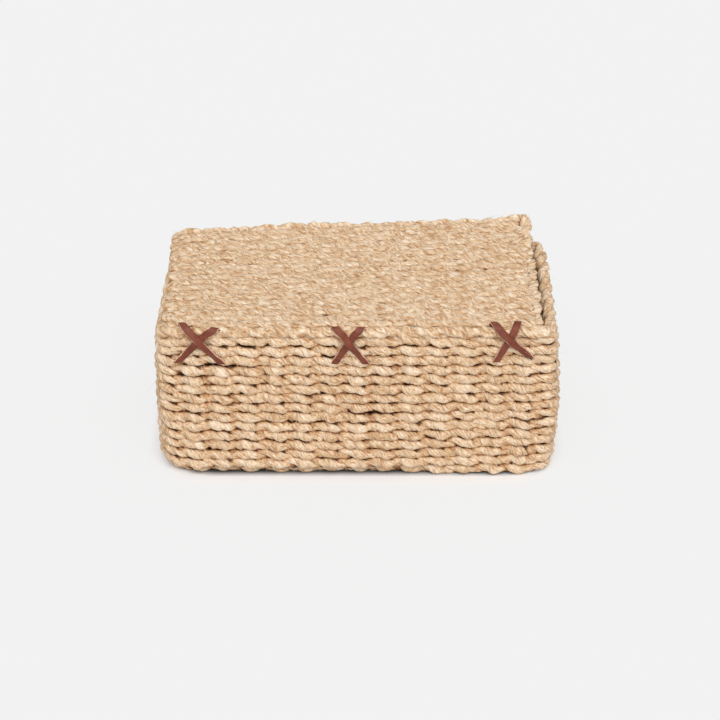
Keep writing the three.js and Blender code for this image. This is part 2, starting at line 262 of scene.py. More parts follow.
def stretch(tube, first, last):
    """The rings between two shares of a tube, closed by flat ends where it is cut."""
    stations = len(tube.along)
    start, end = max(0, round(first * stations) - 1), round(last * stations)
    poles = tube.centre[[start, end - 1]]
    if start == 0:
        poles[0] = tube.poles[0]
    if end == stations:
        poles[1] = tube.poles[1]
    span = slice(start, end)
    along = tube.along[span] - tube.along[start]
    looks = (tube.fibre[span], tube.tone[span], tube.depth[span])
    return Tube(tube.rings[span], poles, *looks, along, tube.girth, tube.travel[span], tube.centre[span])


def spun(centre, hint, cord, closed=False, out=0.0, up=0.0, swell=0.0):
    """One two-ply cord along the given middle line. The hint is a direction across it, in which the line
    lies out from the middle of the weave. It also lies up from there, and swells by a share of its size."""
    travel = tangents(centre, closed)
    across = unit(hint - travel * np.sum(hint * travel, axis=1, keepdims=True))
    other = np.cross(travel, across)
    along = lengths_along(centre)
    turns = along[-1] / cord.twist
    turns = round(turns) if closed else turns
    twist = 2 * np.pi * turns * along / along[-1] + rng.uniform(0, 2 * np.pi)
    twist += wander(along, TWIST_CHANGE, CORD_WAVES)
    angle = np.linspace(0, 2 * np.pi, cord.sides, endpoint=False)
    radius = cord.apart * np.abs(np.cos(angle)) + np.sqrt(cord.ply**2 - (cord.apart * np.sin(angle)) ** 2)
    radius *= 1 + RIDGE_HEIGHT * np.cos(cord.ridges * angle + rng.uniform(0, 2 * np.pi))
    size = 1 + swell + wander(along, THICKNESS_CHANGE, CORD_WAVES)
    reach = size[:, None] * radius[None, :]
    bearing = angle[None, :] + twist[:, None]
    rings = centre[:, None, :] + across[:, None, :] * (reach * np.cos(bearing))[:, :, None]
    rings += other[:, None, :] * (reach * np.sin(bearing))[:, :, None]
    fibre = np.empty_like(rings)
    fibre[:, :, 0] = along[:, None] + rng.uniform(0, 5)
    fibre[:, :, 1] = radius * np.cos(angle)
    fibre[:, :, 2] = radius * np.sin(angle)
    ridge_tones = np.stack([wander(along, RIDGE_TONE, TONE_WAVES) for _ in range(cord.ridges)], axis=1)
    ridge = angle * cord.ridges / (2 * np.pi)
    before = np.floor(ridge).astype(int) % cord.ridges
    part = ridge % 1
    tone = ridge_tones[:, before] * (1 - part) + ridge_tones[:, (before + 1) % cord.ridges] * part
    tone += rng.normal(0, CORD_TONE) + wander(along, CORD_TONE, CORD_WAVES)[:, None]
    # Painted shade: the further a point lies below the crown of the weave, the darker its colour
    crown = cord.swing_out + cord.apart + cord.ply
    outwards = reach * np.cos(bearing)
    open_side = np.abs(np.reshape(out, (-1, 1)) + outwards)
    if cord.bulge:
        # The side that a strand turns to the middle of the wall is seen only in the gaps, and gets more
        # painted shade
        hidden = smooth(-np.sign(outwards) * np.reshape(out, (-1, 1)) / (HIDDEN_START * cord.swing_out))
        open_side = open_side * (1 - HIDDEN_SIDE_SHADE * hidden)
    if cord.open_top:
        open_side = np.maximum(open_side, np.reshape(up, (-1, 1)) - reach * np.sin(bearing))
    depth = np.clip((crown - open_side) / FULL_SHADE_DEPTH, 0, 1)
    poles = None if closed else centre[[0, -1]] + travel[[0, -1]] * np.array([[-cord.ply], [cord.ply]])
    girth = float(np.sum(np.linalg.norm(rings[0] - np.roll(rings[0], 1, axis=0), axis=1)))
    return Tube(rings, poles, fibre, tone, depth, along, girth, travel, centre)


def strand(line, which, cord):
    """One of the two cords that turn about each other along a line."""
    along = lengths_along(line.centre)
    turn = math.pi * (line.phase + which) + wander(along, TURN_CHANGE, CORD_WAVES)
    out = cord.swing_out * np.cos(turn) + wander(along, SWING_CHANGE / 2, CORD_WAVES)
    up = -cord.swing_up * np.sin(turn) + wander(along, SWING_CHANGE, CORD_WAVES)
    centre = line.centre + line.out * out[:, None] + line.up * up[:, None]
    if line.closed:
        centre[-1] = centre[0]
    inside = smooth(-np.cos(turn) / FULL_INSIDE)
    swell = cord.bulge * (INSIDE_BULGE * inside + (1 - inside) * np.cos(2 * turn))
    return spun(centre, line.out, cord, line.closed, out, up, swell)


def twined(line, cord):
    return [strand(line, 0, cord), strand(line, 1, cord)]


# Meshes


def tube_faces(stations, sides, closed):
    """Corner indices of a tube's quads, and of the triangles that close its two ends."""
    ring = np.arange(sides)
    after = (ring + 1) % sides
    first = np.arange(stations - 1)[:, None] * sides
    quads = np.stack([first + ring, first + after, first + sides + after, first + sides + ring], axis=2)
    if closed:
        return quads.reshape(-1, 4), np.empty((0, 3), dtype=int)
    pole = stations * sides
    last = (stations - 1) * sides
    start = np.stack([after, ring, np.full(sides, pole)], axis=1)
    end = np.stack([last + ring, last + after, np.full(sides, pole + 1)], axis=1)
    return quads.reshape(-1, 4), np.concatenate([start, end])


def bake_map(tubes):
    """A flat map in which each tube lies cut open, in strips of one length, stacked without overlap."""
    gap = 0.4 * MM
    spare = 1.03
    area = sum(tube.along[-1] * (tube.girth + gap) for tube in tubes)
    strip = spare * math.sqrt(area)
    margin = 4 * MM
    quad_maps, end_maps = [], []
    height = 0.0
    for tube in tubes:
        stations, sides = tube.tone.shape
        level = tube.girth + gap
        piece = np.floor(tube.along[:-1] / strip)
        left = margin + tube.along[:-1] - piece * strip
        right = margin + tube.along[1:] - piece * strip
        low = height + piece * level
        near = tube.girth * np.arange(sides) / sides
        far = near + tube.girth / sides
        corners = np.empty((stations - 1, sides, 4, 2))
        corners[:, :, :2, 0] = left[:, None, None]
        corners[:, :, 2:, 0] = right[:, None, None]
        corners[:, :, ::3, 1] = (low[:, None] + near)[:, :, None]
        corners[:, :, 1:3, 1] = (low[:, None] + far)[:, :, None]
        quad_maps.append(corners.reshape(-1, 2))
        if tube.poles is not None:
            for edge, tip, base in ((left[0], -margin / 2, low[0]), (right[-1], margin / 2, low[-1])):
                end_x = np.tile([edge, edge, edge + tip], (sides, 1))
                end_y = base + np.stack([far, near, (near + far) / 2], axis=1)
                end_maps.append(np.stack([end_x, end_y], axis=2).reshape(-1, 2))
        height = low[-1] + level
    flat = np.concatenate(quad_maps + end_maps)
    return flat / max(strip + 3 * margin, height)


def add_object(name, mesh, *materials):
    mesh.shade_smooth()
    for material in materials:
        mesh.materials.append(material)
    piece = bpy.data.objects.new(name, mesh)
    bpy.context.scene.collection.objects.link(piece)
    return piece


def face_object(name, points, faces, *materials):
    mesh = bpy.data.meshes.new(name)
    mesh.from_pydata(points, [], faces)
    return add_object(name, mesh, *materials)


def tube_object(name, tubes, material):
    points, quads, triangles = [], [], []
    looks = {"fibre": [], "tone": [], "depth": []}
    base = 0
    for tube in tubes:
        stations, sides = tube.tone.shape
        four, three = tube_faces(stations, sides, tube.poles is None)
        quads.append(four + base)
        triangles.append(three + base)
        points.append(tube.rings.reshape(-1, 3))
        base += stations * sides
        if tube.poles is not None:
            points.append(tube.poles)
            base += 2
        for key, parts in looks.items():
            values = getattr(tube, key)
            parts.append(values.ravel())
            if tube.poles is not None:
                parts.append(values[[0, -1], 0].ravel())
    quads, triangles = np.concatenate(quads), np.concatenate(triangles)
    mesh = bpy.data.meshes.new(name)
    mesh.vertices.add(base)
    mesh.vertices.foreach_set("co", np.concatenate(points).astype(np.float32).ravel())
    mesh.loops.add(quads.size + triangles.size)
    mesh.loops.foreach_set("vertex_index", np.concatenate([quads.ravel(), triangles.ravel()]))
    mesh.polygons.add(len(quads) + len(triangles))
    starts = np.concatenate([np.arange(len(quads)) * 4, quads.size + np.arange(len(triangles)) * 3])
    mesh.polygons.foreach_set("loop_start", starts)
    mesh.update(calc_edges=True)
    for key, parts in looks.items():
        kind, field = ("FLOAT_VECTOR", "vector") if key == "fibre" else ("FLOAT", "value")
        attribute = mesh.attributes.new(key, kind, "POINT")
        attribute.data.foreach_set(field, np.concatenate(parts).astype(np.float32))
    layer = mesh.uv_layers.new(name="OFBake")
    layer.uv.foreach_set("vector", bake_map(tubes).astype(np.float32).ravel())
    return add_object(name, mesh, material)


# Materials


class Nodes:
    """Short ways to add shader nodes."""

    def __init__(self, tree):
        self.tree = tree

    def fill(self, node, **inputs):
        for name, value in inputs.items():
            self.put(node.inputs[name.replace("_", " ")], value)
        return node

    def add(self, kind, **inputs):
        return self.fill(self.tree.nodes.new(kind), **inputs)

    def put(self, socket, value):
        if isinstance(value, bpy.types.NodeSocket):
            self.tree.links.new(value, socket)
        else:
            socket.default_value = value

    def attribute(self, name, output):
        node = self.tree.nodes.new("ShaderNodeAttribute")
        node.attribute_name = name
        return node.outputs[output]

    def place(self):
        return self.add("ShaderNodeTexCoord").outputs["Object"]

    def operate(self, kind, operation, a, b):
        node = self.tree.nodes.new(kind)
        node.operation = operation
        self.put(node.inputs[0], a)
        self.put(node.inputs[1], b)
        return node.outputs

    def maths(self, operation, a, b):
        return self.operate("ShaderNodeMath", operation, a, b)["Value"]

    def scaled(self, value, factor, plus):
        return self.maths("ADD", self.maths("MULTIPLY", value, factor), plus)

    def vector(self, operation, a, b=(0, 0, 0)):
        return self.operate("ShaderNodeVectorMath", operation, a, b)

    def ranged(self, value, start, end, top=1.0):
        node = self.add("ShaderNodeMapRange", Value=value, From_Min=start, From_Max=end, To_Max=top)
        return node.outputs["Result"]

    def ramp(self, value, places, colours):
        node = self.tree.nodes.new("ShaderNodeValToRGB")
        elements = node.color_ramp.elements
        elements[0].position, elements[1].position = places[0], places[-1]
        for place in places[1:-1]:
            elements.new(place)
        for element, colour in zip(elements, colours):
            element.color = (*colour, 1)
        self.put(node.inputs["Fac"], value)
        return node.outputs["Color"]

    def multiply(self, a, b):
        node = self.tree.nodes.new("ShaderNodeMix")
        node.data_type = "RGBA"
        node.blend_type = "MULTIPLY"
        node.inputs["Factor"].default_value = 1.0
        colours = [socket for socket in node.inputs if socket.type == "RGBA"]
        self.put(colours[0], a)
        self.put(colours[1], b)
        return [socket for socket in node.outputs if socket.type == "RGBA"][0]

    def noise(self, vector, scale, detail):
        mapping = self.add("ShaderNodeMapping", Vector=vector, Scale=scale)
        noise = self.add("ShaderNodeTexNoise", Vector=mapping.outputs["Vector"], Scale=1.0, Detail=detail)
        return noise.outputs["Fac"]

    def surface(self, shader, colour, height, strength, relief):
        bump = self.add("ShaderNodeBump", Strength=strength, Distance=relief, Height=height)
        self.fill(shader, Base_Color=colour, Normal=bump.outputs["Normal"])


def new_material(name):
    material = bpy.data.materials.new(name)
    material.use_nodes = True
    tree = material.node_tree
    return material, Nodes(tree), tree.nodes["Principled BSDF"]


STRAW_PLACES = (0.36, 0.46, 0.54, 0.66)
STRAW_COLOURS = ((0.43, 0.225, 0.10), (0.645, 0.435, 0.255), (0.755, 0.575, 0.395), (0.87, 0.75, 0.605))
# Colours of shade painted into the cords, from the crown of the weave down into its gaps
SHADE_PLACES = (0.40, 0.62, 0.82, 0.95)
WALL_SHADE_COLOURS = ((1, 1, 1), (0.96, 0.89, 0.80), (0.62, 0.42, 0.27), (0.10, 0.05, 0.025))
LID_SHADE_COLOURS = ((1, 1, 1), (0.99, 0.97, 0.94), (0.95, 0.88, 0.80), (0.80, 0.65, 0.52))
FLECK_PLACES = (0.62, 0.73)
FLECK_COLOUR = (0.73, 0.52, 0.35)
TONE_SHARE = 0.042


def fibre_material(name, broad_scale, fine_scale, fleck_scale, broad_share, gaps, relief):
    """Straw-like fibre: streaks along the cord in two sizes, and darker flecks, each given as counts per
    metre along and across it. Shade is painted into the cord's colour in the gaps of the weave."""
    material, nodes, shader = new_material(name)
    fibre = nodes.attribute("fibre", "Vector")
    tone = nodes.attribute("tone", "Fac")
    depth = nodes.attribute("depth", "Fac")
    scales = [(along, across, across) for along, across in (broad_scale, fine_scale, fleck_scale)]
    broad, fine, fleck = [nodes.noise(fibre, scale, detail) for scale, detail in zip(scales, (2, 3, 1))]
    mix = nodes.scaled(broad, broad_share, nodes.maths("MULTIPLY", fine, 1 - broad_share))
    straw = nodes.ramp(nodes.scaled(tone, TONE_SHARE, mix), STRAW_PLACES, STRAW_COLOURS)
    # Shade painted into the colour in the weave's gaps
    shadow = nodes.ramp(depth, SHADE_PLACES, gaps)
    flecks = nodes.ramp(fleck, FLECK_PLACES, ((1, 1, 1), FLECK_COLOUR))
    coloured = nodes.multiply(nodes.multiply(straw, shadow), flecks)
    nodes.surface(shader, coloured, mix, 0.9, relief)
    nodes.fill(shader, Roughness=nodes.scaled(fine, 0.35, 0.45), Specular_IOR_Level=0.35)
    return material


WALL_STREAKS = ((150, 700), (650, 1400), (190, 900), 0.36)
LID_STREAKS = ((290, 430), (620, 1100), (260, 480), 0.62)
# The materials of the slots
FIBRE = {
    "wall_fibre": fibre_material("wall_fibre", *WALL_STREAKS, WALL_SHADE_COLOURS, 0.38 * MM),
    "lid_fibre": fibre_material("lid_fibre", *LID_STREAKS, LID_SHADE_COLOURS, 0.45 * MM),
    "base_fibre": fibre_material("base_fibre", *WALL_STREAKS, WALL_SHADE_COLOURS, 0.3 * MM),
    "stake_fibre": fibre_material("stake_fibre", *WALL_STREAKS, WALL_SHADE_COLOURS, 0.3 * MM),
}


def leather_material():
    material, nodes, shader = new_material("lace_leather")
    place = nodes.place()
    grain = nodes.noise(place, (1500, 1500, 1500), 4)
    patch = nodes.noise(place, (160, 160, 160), 3)
    mix = nodes.scaled(grain, 0.55, nodes.maths("MULTIPLY", patch, 0.45))
    colours = ((0.115, 0.026, 0.011), (0.182, 0.041, 0.020), (0.240, 0.070, 0.036))
    nodes.surface(shader, nodes.ramp(mix, (0.36, 0.5, 0.66), colours), mix, 0.5, 0.2 * MM)
    nodes.fill(shader, Roughness=nodes.scaled(grain, 0.3, 0.34), Specular_IOR_Level=0.3)
    return material


def raw_edge_material():
    colours = ((0.42, 0.20, 0.11), (0.70, 0.44, 0.29), (0.84, 0.62, 0.46))
    material, nodes, shader = new_material("lace_raw_edge")
    grain = nodes.noise(nodes.place(), (1800, 1800, 1800), 3)
    nodes.surface(shader, nodes.ramp(grain, (0.36, 0.5, 0.62), colours), grain, 0.5, 0.15 * MM)
    nodes.fill(shader, Roughness=0.8)
    return material


lace_leather = leather_material()
lace_edge = raw_edge_material()

# The hand-made shape of the walls

FLOOR_CLEARANCE = 0.1 * MM
LEAN_START = 50 * MM
RIGHT_LEAN_FRONT = -0.5 * MM
RIGHT_LEAN_BACK = 1.8 * MM
RIGHT_SWELL = 2.6 * MM
LEFT_SWELL = 1.0 * MM
LEFT_LEAN_BACK = 2.0 * MM
ROUNDING_START = 28 * MM
LEFT_ROUNDING = 3.8 * MM
RIGHT_ROUNDING = 2.4 * MM
BACK_ROUNDING = 2.2 * MM


def nearness(distance):
    return smooth((ROUNDING_START - distance) / ROUNDING_START)


def settled(points):
    """The right wall leans out towards the back and the left one leans in there. The low front corners and
    the back right one are rounder."""
    x, y, z = np.moveaxis(points.copy(), -1, 0)
    height = np.clip(z / rim_high.z, 0, 1)
    back = np.clip((y + HALF_DEPTH) / (2 * HALF_DEPTH), 0, 1)
    right = np.clip((x - LEAN_START) / (HALF_WIDTH - LEAN_START), 0, None)
    left = np.clip((-x - LEAN_START) / (HALF_WIDTH - LEAN_START), 0, None)
    points[..., 0] += right * height * (RIGHT_LEAN_FRONT + (RIGHT_LEAN_BACK - RIGHT_LEAN_FRONT) * back)
    points[..., 0] += right * RIGHT_SWELL * np.sin(np.pi * height) * (1.5 - height)
    points[..., 0] -= left * LEFT_SWELL * np.sin(np.pi * height)
    points[..., 0] += left * LEFT_LEAN_BACK * height * back
    near_left, near_right = nearness(HALF_WIDTH + x), nearness(HALF_WIDTH - x)
    near_front, near_back = nearness(HALF_DEPTH + y), nearness(HALF_DEPTH - y)
    pushes = [
        (LEFT_ROUNDING * near_left * near_front * (1 - height), 1, 1),
        (RIGHT_ROUNDING * near_right * near_front * (1 - height) ** 3, -1, 1),
        (BACK_ROUNDING * near_right * near_back, -1, -1),
    ]
    for push, way_x, way_y in pushes:
        points[..., 0] += way_x * push
        points[..., 1] += way_y * push
    points[..., 2] = np.maximum(z, FLOOR_CLEARANCE)
    return points


def raised(points):
    """The lid's twist: its back right corner stands up."""
    across = (points[..., 0] - LID_LEFT) / (LID_RIGHT - LID_LEFT)
    back = (points[..., 1] + HALF_DEPTH) / (2 * HALF_DEPTH)
    points[..., 2] += LID_LIFT * across * back
    return points


def shaped(tubes, change):
    for tube in tubes:
        change(tube.rings)
        change(tube.centre)
        if tube.poles is not None:
            change(tube.poles)
    return tubes


def woven(name, tubes, slot, body, *nodes):
    """A piece made of cords, with the material of its slot."""
    piece = tube_object(name, tubes, FIBRE[slot])
    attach(piece, body)
    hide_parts(*nodes)


# The box

STEP = 1.3 * MM

# The courses run down to the left, where the lowest one is pressed in under the next
RIM_MIDDLE = (rim_low.z + rim_high.z) / 2 + 0.3 * MM
RIGHT_PITCH = 6.55 * MM
LEFT_PITCH = 6.77 * MM
SLOPE_START = 95 * MM
SLOPE_END = 5 * MM
FOOT_HEIGHT = 3.4 * MM
FOOT_INSET = 4.2 * MM


def course_tubes(below_rim, cord):
    line = wall_line(RIM_MIDDLE, STEP)
    share = smooth((SLOPE_START - line.centre[:, 0]) / (SLOPE_START - SLOPE_END))
    height = RIM_MIDDLE - below_rim * (RIGHT_PITCH + (LEFT_PITCH - RIGHT_PITCH) * share)
    line.centre[:, 2] = np.maximum(height, FOOT_HEIGHT)
    line.centre[:, 2] += wander(lengths_along(line.centre), ROW_CHANGE, ROW_WAVES)
    if below_rim == COURSES:
        line.centre[:] -= line.out * (FOOT_INSET * share)[:, None]
    return shaped(twined(line, cord), settled)


courses = [course_tubes(below_rim, WALL_CORD) for below_rim in range(COURSES, 0, -1)]
bands = {"wall_foot": (0, 4), "wall_low": (4, 7), "wall_high": (7, 10), "wall_head": (10, COURSES)}
for name, (first, last) in bands.items():
    woven(name + "_courses", sum(courses[first:last], []), "wall_fibre", "box", "wall_weft")

rim_tubes = course_tubes(0, RIM_CORD)
woven("rim_twist", rim_tubes, "wall_fibre", "box", "rim_border")

BASE_ROWS = 21
# The base's rows reach a little into the lowest course
BASE_TUCK = 1.2 * MM
base_half = HALF_DEPTH - WALL + BASE_TUCK
base_pitch = 2 * base_half / BASE_ROWS
base_ends = [HALF_WIDTH - WALL + BASE_TUCK - base_pitch / 2] * ((BASE_ROWS + 1) // 2)
base_middle = BASE_CORD.swing_out + BASE_CORD.ply + BASE_CORD.apart
base_line = row_line([-e for e in base_ends], base_ends, -base_half, base_pitch, base_middle, 1.3 * STEP)
base_tubes = shaped(twined(base_line, BASE_CORD), settled)
woven("base_rows", base_tubes, "base_fibre", "box", "base_weft")

# The stakes

# How much painted shade a stake gets: lying deep in the gaps makes it darker
WALL_STAKE_SHADE = 0.95
BASE_STAKE_SHADE = 0.55
LID_WARP_SHADE = 0.7
BASE_TOP = 2 * base_middle


def plain_cord(points, hint, depth=WALL_STAKE_SHADE):
    centre = rounded_path(points, 2 * STEP)
    tube = spun(centre, np.array(hint), STAKE_CORD)
    # Painted shade: stakes are lighter where they run in the base than in the walls and lid
    tube.depth[:] = np.where(tube.rings[..., 2] < BASE_TOP, BASE_STAKE_SHADE, depth)
    return tube


def stake_route(node):
    """Down one wall, across the base and up the other wall, or down a corner and in across the base."""
    low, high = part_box(node)
    inset = STAKE_DIAMETER / 2
    level, top = low.z + inset, high.z
    ends_x = (low.x + inset, high.x - inset)
    ends_y = (low.y + inset, high.y - inset)
    if node.startswith("corner"):
        ends_x, ends_y = sorted(ends_x, key=abs, reverse=True), sorted(ends_y, key=abs, reverse=True)
    start, end = zip(ends_x, ends_y)
    route = [(*start, top), (*start, level), (*end, level)]
    return route if node.startswith("corner") else route + [(*end, top)]


def tighten(points, reach):
    """Extra points beside each inner corner, so that rounding stays near it."""
    points = [np.array(p) for p in points]
    result = [points[0]]
    for before, corner, after in zip(points, points[1:], points[2:]):
        result.append(corner + reach * unit(before - corner))
        result.append(corner)
        result.append(corner + reach * unit(after - corner))
    return result + [points[-1]]


BEND = 6 * MM
# Each kind of stake with a direction across it
STAKES = {"cross_stake": (1.0, 0.0, 0.0), "long_stake": (0.0, 1.0, 0.0), "corner_stake": (0.3, 0.0, 0.05)}
for prefix, hint in STAKES.items():
    stake_nodes = nodes_named(prefix)
    stake_tubes = [plain_cord(tighten(stake_route(node), BEND), hint) for node in stake_nodes]
    woven(prefix + "s", shaped(stake_tubes, settled), "stake_fibre", "box", *stake_nodes)

# The lid

# How flat the cords of the upper rows, the lower rows and the edges are
LID_SQUASH = 0.36
UNDER_SQUASH = 0.5
EDGE_SQUASH = 0.8
LID_ROWS = 19
UNDER_ROWS = 21
UNDER_ROOM = 3.4 * MM
lid_middle = LID_TOP - 2.6 * MM
under_middle = LID_BOTTOM + 1.6 * MM
# How far the rows' ends keep from the lid's left and right edge, the left one with a wavy outline
LEFT_ROOM = 9.5 * MM
LEFT_WAVE_Y = np.array([-75, -40, -18, 10, 40, 75]) * MM
LEFT_WAVE_X = np.array([0.0, 0.5, 1.4, 0.0, -1.6, -2.0]) * MM
RIGHT_ROOM = 9.5 * MM
WRAP_LENGTH = 38 * MM
WRAP_ROOM = 4.2 * MM
UNDER_WRAP_ROOM = 1.5 * MM
# How uneven the rows' ends are, in millimetres, and how the rows sway and rise, over which lengths
END_CHANGE = 0.3
ROW_SWAY = (0.7 * MM, (27 * MM, 60 * MM, 130 * MM))
ROW_RISE = (0.8 * MM, (13 * MM, 31 * MM, 70 * MM))


def left_end(y):
    return LID_LEFT + LEFT_ROOM + float(np.interp(y, LEFT_WAVE_Y, LEFT_WAVE_X))


def right_end(y, wrap_room):
    return LID_RIGHT - RIGHT_ROOM - (wrap_room if y > HALF_DEPTH - WRAP_LENGTH else 0.0)


def uneven(x):
    return x + rng.uniform(-END_CHANGE, END_CHANGE) * MM


def pressed(level, squash):
    def press(points):
        points[..., 2] = level + (points[..., 2] - level) * squash
        return raised(points)

    return press


def lid_layer(rows, edge_room, wrap_room, level, squash, cord, step):
    """Rows to and fro over the whole lid, pressed flat."""
    near = -HALF_DEPTH + edge_room
    pitch = -2 * near / rows
    pairs = range((rows + 1) // 2)
    lefts = [uneven(left_end(near + 2 * k * pitch)) for k in pairs]
    rights = [uneven(right_end(near + (2 * k + 1) * pitch, wrap_room)) for k in pairs]
    line = row_line(lefts, rights, near, pitch, level, step)
    along = lengths_along(line.centre)
    line.centre[:, 1] += wander(along, *ROW_SWAY)
    line.centre[:, 2] += wander(along, *ROW_RISE)
    return shaped(twined(line, cord), pressed(level, squash))


lid_tubes = lid_layer(LID_ROWS, LID_BORDER, WRAP_ROOM, lid_middle, LID_SQUASH, LID_CORD, STEP)
for name, first, last in (("lid_front_rows", 0.0, 0.5), ("lid_back_rows", 0.5, 1.0)):
    woven(name, [stretch(tube, first, last) for tube in lid_tubes], "lid_fibre", "lid", "lid_weft")

UNDER_STEP = 1.4 * STEP
under_tubes = lid_layer(
    UNDER_ROWS, UNDER_ROOM, UNDER_WRAP_ROOM, under_middle, UNDER_SQUASH, UNDER_CORD, UNDER_STEP
)
woven("lid_under_rows", under_tubes, "lid_fibre", "lid", "lid_weft")

# The cords that the rows turn round at the lid's left and right edge
EDGE_LEVEL = LID_BOTTOM + 2.9 * MM
LEFT_EDGE_INSET = 0.2 * MM
RIGHT_EDGE_INSET = 2.0 * MM
edge_places = np.linspace(-1, 1, 7) * (HALF_DEPTH - LID_BORDER + 1 * MM)
left_route = [(left_end(y) - LEFT_EDGE_INSET, y, EDGE_LEVEL) for y in edge_places]
right_route = [(right_end(y, 0.0) + RIGHT_EDGE_INSET, y, EDGE_LEVEL) for y in edge_places]
edge_tubes = []
for route in (left_route, right_route):
    centre = rounded_path(route, STEP)
    tube = spun(centre, UP, EDGE_CORD, out=EDGE_CORD.ply)
    edge_tubes += shaped([tube], pressed(EDGE_LEVEL, EDGE_SQUASH))
woven("lid_edge_cords", edge_tubes, "lid_fibre", "lid", "lid_weft")

# The border cords
border_middle = LID_BOTTOM + LID_THICKNESS / 2 - 0.9 * MM
front_y = -HALF_DEPTH + LID_BORDER / 2
back_y = HALF_DEPTH - LID_BORDER / 2
edge_x = LID_RIGHT - LID_BORDER / 2 - 3.1 * MM
wrap_y = back_y - WRAP_LENGTH
# Corner points: from a place along X and Y, so many millimetres along X, along Y and up
FRONT_PATH = [
    (LID_LEFT, front_y, 8.0, 7.0, 0.0),
    (LID_LEFT, front_y, 4.6, 5.0, 0.6),
    (LID_LEFT, front_y, 4.6, 0.4, 0.0),
    (LID_LEFT, front_y, 10.0, 0.0, 0.0),
    (LID_RIGHT, front_y, -1.5, 0.0, 0.0),
]
BACK_PATH = [
    (edge_x, wrap_y, -6.0, -2.0, -0.6),
    (edge_x, wrap_y, -1.5, 2.0, 0.0),
    (edge_x, wrap_y, 0.0, 9.0, 0.0),
    (edge_x, back_y, 0.0, -7.0, 0.6),
    (edge_x, back_y, 0.0, 0.0, 2.8),
    (edge_x, back_y, -7.0, 0.0, 1.4),
    (edge_x, back_y, -20.0, 0.0, 0.0),
    (0.0, back_y, -10.0, 0.0, 0.0),
    (0.0, back_y, -30.0, 0.0, 1.8),
    (0.0, back_y, -48.0, 0.0, 1.8),
    (0.0, back_y, -75.0, 0.0, 0.0),
    (LID_LEFT, back_y, 9.0, 0.0, 0.0),
    (LID_LEFT, back_y, 4.6, -2.0, 0.0),
    (LID_LEFT, back_y, 4.0, -9.0, -1.0),
]


def border_tubes(path):
    corners = [(x + dx * MM, y + dy * MM, border_middle + up * MM) for x, y, dx, dy, up in path]
    return shaped(twined(edge_line(corners, STEP), BORDER_CORD), raised)


front_tubes = border_tubes(FRONT_PATH)
back_tubes = border_tubes(BACK_PATH)
woven("lid_front_twist", front_tubes, "lid_fibre", "lid", "lid_front_border")
woven("lid_back_twist", back_tubes, "lid_fibre", "lid", "lid_back_border")

warp_nodes = nodes_named("lid_warp")
warp_tubes = []
for x in [middle_of(name).x for name in warp_nodes]:
    route = [(x, front_y, border_middle), (x, 0.0, lid_middle), (x, back_y, border_middle)]
    warp_tubes.append(plain_cord(route, (1.0, 0.0, 0.0), LID_WARP_SHADE))
woven("lid_warps", shaped(warp_tubes, raised), "stake_fibre", "lid", *warp_nodes)

# The laces

LACE_WIDTH = 4.6 * MM
LACE_THICKNESS = 1.4 * MM
LACE_OUT = 0.8 * MM
LACE_CROSS_BUMP = 2.0 * MM
LACE_ROLL = 0.5
LACE_HOLE = (COURSES - 2) * COURSE_HEIGHT + 2.0 * MM
# Where each lace's four ends go in, along X and up from their usual height, in millimetres:
# upper left, upper right, lower left, lower right
LACES = {
    "lace_left": ((-108.5, 0.4), (-86.5, -0.9), (-112.0, 1.6), (-83.6, 0.4)),
    "lace_middle": ((-14.0, -0.4), (3.8, -0.6), (-14.0, 0.6), (6.4, 0.6)),
    "lace_right": ((85.0, 0.9), (100.5, 1.3), (87.0, 2.0), (109.0, 5.2)),
}
# Upper ends below this go into the face of the border cord, and the others over it
LOW_END = -0.2
LACE_SWEEP = 5.7 * MM
LACE_CROWN = 5.6 * MM
LACE_STAND_OFF = 0.9 * MM
# Shares of a run from its lower to its upper end: up the front, where two runs cross, and the front's last
FRONT_SHARES = (0.03, 0.15, 0.28, 0.38, 0.46, 0.54, 0.65, 0.76)
CROSS_SHARE = 0.46
LAST_SHARE = 0.76
# Over the border cord: the share of the run, and millimetres back from its middle and up from the crown
OVER_BORDER = [(0.88, -3.6, -1.5), (0.97, -0.2, 0.0), (1.0, 2.8, -1.0), (1.0, 4.2, -3.6)]


def lace_strand(low_end, high_end, hole_shift, bump):
    """Corner points of one outside run: in the wall, up the front, over the border cord and down behind."""
    face = -HALF_DEPTH - LACE_OUT
    low_x, high_x = low_end[0] * MM, high_end[0] * MM
    hole_x = low_x + hole_shift
    crown = border_middle + LACE_CROWN + high_end[1] * MM
    hole = LACE_HOLE + low_end[1] * MM
    points = [
        (hole_x, -HALF_DEPTH + WALL + 0.8 * MM, hole),
        (hole_x, -HALF_DEPTH + 5 * MM, hole),
        (low_x, -HALF_DEPTH + 1.5 * MM, hole - 0.2 * MM),
    ]
    reach = high_x - low_x
    for share in FRONT_SHARES:
        out = bump * smooth(1 - abs(share - CROSS_SHARE) / 0.3)
        out += LACE_STAND_OFF * smooth((share - 0.35) / 0.3)
        height = hole + 0.4 * MM + (border_middle + 1.2 * MM - hole) * share / LAST_SHARE
        points.append((low_x + reach * share, face - out, height))
    if high_end[1] < LOW_END:
        angle = math.asin((crown - border_middle) / LACE_SWEEP)
        for share, turn, radius in ((0.9, 0.6, LACE_SWEEP), (0.98, 1.0, LACE_SWEEP), (1.0, 1.0, 2.0 * MM)):
            y = front_y - radius * math.cos(turn * angle)
            points.append((low_x + reach * share, y, border_middle + radius * math.sin(turn * angle)))
        points.append((high_x, front_y + 2.0 * MM, border_middle))
    else:
        for share, back, up in OVER_BORDER:
            points.append((low_x + reach * share, front_y + back * MM, crown + up * MM))
    points.append((high_x, front_y + 4.4 * MM, LID_BOTTOM))
    return points


LEFT_HOLE_SHIFT = 3.2 * MM
RIGHT_HOLE_SHIFT = -0.5 * MM
# Where the laces run down the inside of the front wall
LACE_INSIDE = -HALF_DEPTH + WALL + 1.4 * MM


